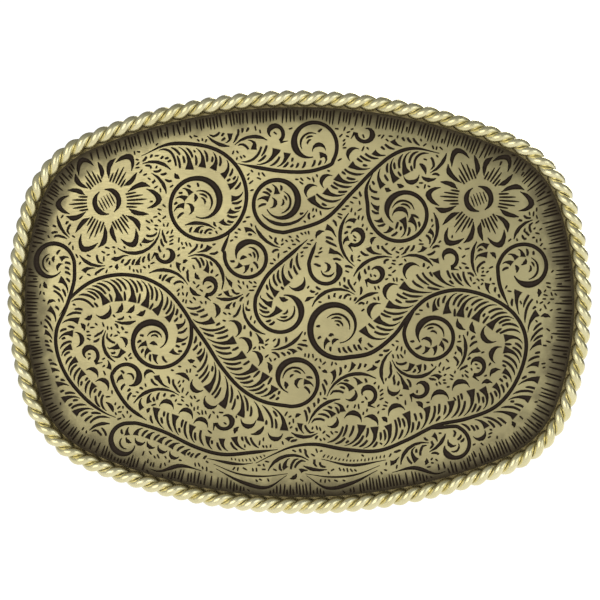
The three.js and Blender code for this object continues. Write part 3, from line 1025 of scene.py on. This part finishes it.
def hammered(name, dull, bright, rough):
    """Metal closed up with a hammer: shallow dents with bright crowns, and tarnish between them."""
    n = Nodes(name)
    dents = n.put("ShaderNodeTexVoronoi", {"Vector": n.place, "Scale": 950.0}, feature="SMOOTH_F1").outputs[0]
    grain = n.noise(4200.0, 3.0, 0.7)
    crown = n.remap(dents, 0.15, 0.75, 1.0, 0.0)
    n.set(Base_Color=n.mix(n.remap(dents, 0.45, 0.9, 0.0, 0.7), n.mix(crown, dull, bright), TARNISH))
    n.set(Metallic=1.0)
    n.set(Roughness=n.remap(grain, 0.3, 0.7, rough, rough + 0.12))
    n.set(Normal=n.bump(n.maths("ADD", crown, n.maths("MULTIPLY", grain, 0.15)), 0.4, DENT_DEPTH))
    return n.material


# ---- stage ----


def make_stage():
    """A wide flat floor below the buckle."""
    half = 4000
    corners = [(-half, -half, 0), (half, -half, 0), (half, half, 0), (-half, half, 0)]
    floor = new_object("floor", corners, [(0, 1, 2, 3)], floor_material())
    floor.location.z = -0.13


def floor_material():
    """White to the camera, and only pale to the metal above it."""
    n = Nodes("pale_floor")
    n.set(Base_Color=(0.8, 0.8, 0.8, 1), Roughness=0.9)
    n.set(Emission_Color=(1, 1, 1, 1), Emission_Strength=0.3)
    white = n.put("ShaderNodeEmission", {"Color": (1, 1, 1, 1), "Strength": 1.1})
    camera_ray = n.put("ShaderNodeLightPath").outputs["Is Camera Ray"]
    seen = n.put("ShaderNodeMixShader", {0: camera_ray, 1: n.shader.outputs[0], 2: white.outputs[0]})
    n.link(seen.outputs[0], n.output.inputs["Surface"])
    return n.material


def make_light(name, place, size, power, colour=(1, 1, 1)):
    """A soft square light that points at the buckle."""
    data = bpy.data.lights.new(name, "AREA")
    data.shape = "SQUARE"
    data.size = size
    data.energy = power
    data.color = colour
    light = bpy.data.objects.new(name, data)
    bpy.context.scene.collection.objects.link(light)
    light.location = place
    light.rotation_mode = "QUATERNION"
    light.rotation_quaternion = (-Vector(place)).to_track_quat("-Z", "Y")
    light.visible_camera = False


def make_lights():
    """A warm key in front at the left, a cool fill at the right, and one behind for the hardware."""
    make_light("key", (-0.42, -0.95, 0.2), 0.8, 2.85, (1, 0.97, 0.9))
    make_light("fill", (0.7, -0.6, 0.1), 0.5, 0.9, (0.9, 0.95, 1))
    make_light("back", (0.3, 0.7, 0.4), 0.6, 6)


def make_world():
    """White to the camera. To the metal it is a room that is lighter in front and at the left."""
    world = bpy.data.worlds.new("studio")
    bpy.context.scene.world = world
    world.use_nodes = True
    n = Tree(world.node_tree)
    lightest = Vector((-0.55, -0.8, -0.2)).normalized()
    direction = n.put("ShaderNodeTexCoord").outputs["Generated"]
    toward = n.put("ShaderNodeVectorMath", {0: direction, 1: lightest}, operation="DOT_PRODUCT")
    shades = {"From Min": -0.8, "From Max": 1.0, "To Min": 0.14, "To Max": 0.45}
    shade = n.put("ShaderNodeMapRange", {"Value": toward.outputs["Value"], **shades})
    room = n.put("ShaderNodeBackground", {"Color": (0.93, 0.96, 1, 1), "Strength": shade.outputs[0]})
    white = n.put("ShaderNodeBackground", {"Color": (1, 1, 1, 1), "Strength": 1.1})
    camera_ray = n.put("ShaderNodeLightPath").outputs["Is Camera Ray"]
    seen = n.put("ShaderNodeMixShader", {0: camera_ray, 1: room.outputs[0], 2: white.outputs[0]})
    n.put("ShaderNodeOutputWorld", {"Surface": seen.outputs[0]})


def make_camera():
    """A long lens a little to the right of the buckle and a little above it."""
    data = bpy.data.cameras.new("camera")
    data.lens = 135
    data.sensor_width = 36
    data.clip_start = 0.01
    data.clip_end = 50
    camera = bpy.data.objects.new("camera", data)
    bpy.context.scene.collection.objects.link(camera)
    azimuth, elevation = math.radians(4), math.radians(3)
    back = Vector((math.sin(azimuth) * math.cos(elevation), -math.cos(azimuth) * math.cos(elevation),
                   math.sin(elevation)))
    target = Vector((0.5, FRONT - ROPE_DIAMETER / 2, 0.5)) * MM
    frame_width = WIDTH * MM * 1.024
    distance = frame_width * data.lens / data.sensor_width
    camera.location = target + back * distance
    camera.rotation_mode = "QUATERNION"
    camera.rotation_quaternion = (-back).to_track_quat("-Z", "Y")
    bpy.context.scene.camera = camera


# ---- assembly ----


def node_looks():
    """The material of each kind of CAD node, by the nodes' names; the rest are fittings."""
    back = brushed("back_brass", BACK_DULL, BACK_LIGHT, 0.36, (0.03, 1.0, 5.0))
    fitting = brushed("fitting_brass", FITTING_DULL, FITTING_LIGHT, 0.28, (4.0, 4.0, 0.05))
    steel = brushed("pin_steel", STEEL_DULL, STEEL_LIGHT, 0.24, (0.3, 0.3, 6.0))
    rivet = hammered("rivet_brass", RIVET_DULL, RIVET_LIGHT, 0.26)
    looks = dict.fromkeys(frame["nodes"], fitting)
    looks.update({"back_plate": back, "hinge_pin": steel})
    looks.update({name: rivet for name in frame["nodes"] if "rivet" in name})
    return looks


def soften_edges(node):
    """Rounds a CAD node's sharp edges a little, so that they catch the light."""
    bevel = node.modifiers.new("edges", "BEVEL")
    bevel.width = EDGE_BEVEL * MM
    bevel.segments = 2
    bevel.limit_method = "ANGLE"
    bevel.angle_limit = math.radians(40)


def make_object():
    """The engraved face and the rope, and the finish of the CAD nodes that still show."""
    rope = rope_brass()
    make_face(antique_brass())
    make_strand("rope_wire_a", "rope_strand_a", 0.0, rope)
    make_strand("rope_wire_b", "rope_strand_b", math.pi, rope)
    looks = node_looks()
    for name, node in frame["nodes"].items():
        if not node.hide_render:
            node.data.materials.clear()
            node.data.materials.append(looks[name])
            soften_edges(node)


make_object()
make_stage()
make_world()
make_lights()
make_camera()
bpy.context.scene.view_settings.view_transform = "Standard"
